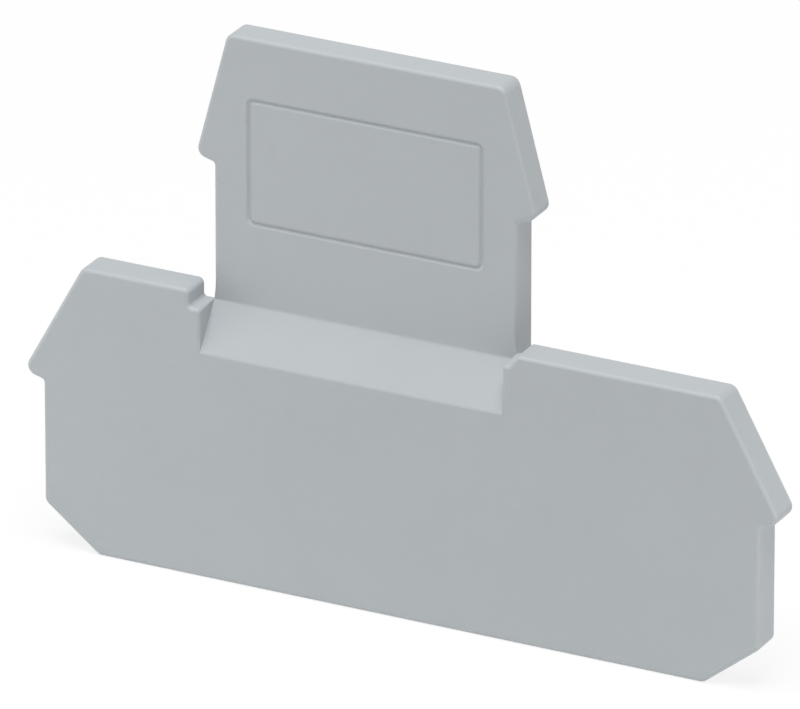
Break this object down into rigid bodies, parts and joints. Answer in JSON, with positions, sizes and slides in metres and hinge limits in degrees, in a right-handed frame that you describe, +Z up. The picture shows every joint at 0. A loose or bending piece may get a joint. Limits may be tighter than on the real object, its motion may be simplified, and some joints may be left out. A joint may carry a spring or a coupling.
{
  "type": "terminal block end cover",
  "caption": "Flat moulded end cover for a two-level terminal block, with a set-back tower over a sloping ledge, side barbs, and locating pegs on its inner face.",
  "frame": {"origin": "middle of the lower plate's inner face, half way along its length and half way up its height", "axes": "+X along the cover's length, +Y out of the inner face into the block that it closes, +Z up, away from the rail"},
  "size_m": [0.056, 0.007, 0.0388],
  "materials": {
    "housing": "fine satin texture of an eroded mould"
  },
  "bodies": {
    "root": {"end_cover": "housing"}
  },
  "joints": []
}
